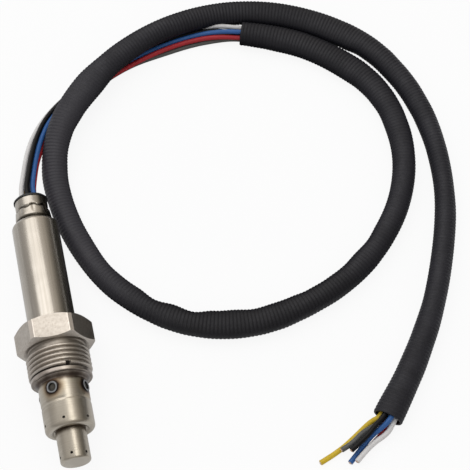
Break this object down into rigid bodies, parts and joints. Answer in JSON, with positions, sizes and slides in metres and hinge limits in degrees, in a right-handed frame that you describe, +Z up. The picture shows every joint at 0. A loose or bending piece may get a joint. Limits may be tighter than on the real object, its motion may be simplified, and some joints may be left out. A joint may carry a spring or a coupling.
{
  "type": "oxygen sensor",
  "caption": "Exhaust oxygen sensor: perforated stepped probe, captive threaded hex nut, crimped rear sleeve, and insulated leads run through a corrugated conduit to bare cut ends.",
  "frame": {"origin": "below the middle of the probe, on the plane that the nut's lower flat and the harness rest on", "axes": "+Y along the probe towards the cable, -Y towards the perforated tip, +Z up"},
  "size_m": [0.1541, 0.1773, 0.022],
  "materials": {
    "nut_steel": "fine brushed",
    "shell_steel": "turned, slightly heat tinted",
    "tube_steel": "drawn, satin, heat tinted by the welds",
    "sleeve_steel": "drawn, satin",
    "contact_metal": "plated",
    "element_ceramic": "fired ceramic",
    "insulator_ceramic": "fired ceramic",
    "talc_powder": "pressed powder",
    "grommet_rubber": "matte",
    "conduit_plastic": "satin, ribbed",
    "insulation_white": "satin",
    "insulation_black": "satin",
    "insulation_blue": "satin",
    "insulation_red": "satin",
    "insulation_gray": "satin",
    "insulation_yellow": "satin"
  },
  "bodies": {
    "sensor": {"sensor_shell": "shell_steel", "outer_protection_tube": "tube_steel", "inner_protection_tube": "tube_steel", "sensor_element": "element_ceramic", "front_ceramic": "insulator_ceramic", "talc_seal": "talc_powder", "rear_ceramic": "insulator_ceramic", "press_ring": "shell_steel", "contact_holder_upper": "insulator_ceramic", "contact_holder_lower": "insulator_ceramic", "retainer_spring": "contact_metal", "rear_sleeve": "sleeve_steel", "grommet": "grommet_rubber", "terminal_white": "contact_metal", "terminal_black": "contact_metal", "terminal_blue": "contact_metal", "terminal_red": "contact_metal", "terminal_gray": "contact_metal", "terminal_yellow": "contact_metal", "conduit": "conduit_plastic", "lead_white": "insulation_white", "tail_white": "insulation_white", "lead_black": "insulation_black", "tail_black": "insulation_black", "lead_blue": "insulation_blue", "tail_blue": "insulation_blue", "lead_red": "insulation_red", "tail_red": "insulation_red", "lead_gray": "insulation_gray", "tail_gray": "insulation_gray", "lead_yellow": "insulation_yellow", "tail_yellow": "insulation_yellow"},
    "nut": {"fitting_nut": "nut_steel"}
  },
  "joints": [
    {"name": "nut_spin", "type": "hinge", "parent": "sensor", "child": "nut", "pos_m": [0, -0.0092, 0.011], "axis": [0, 1, 0], "continuous": true}
  ]
}
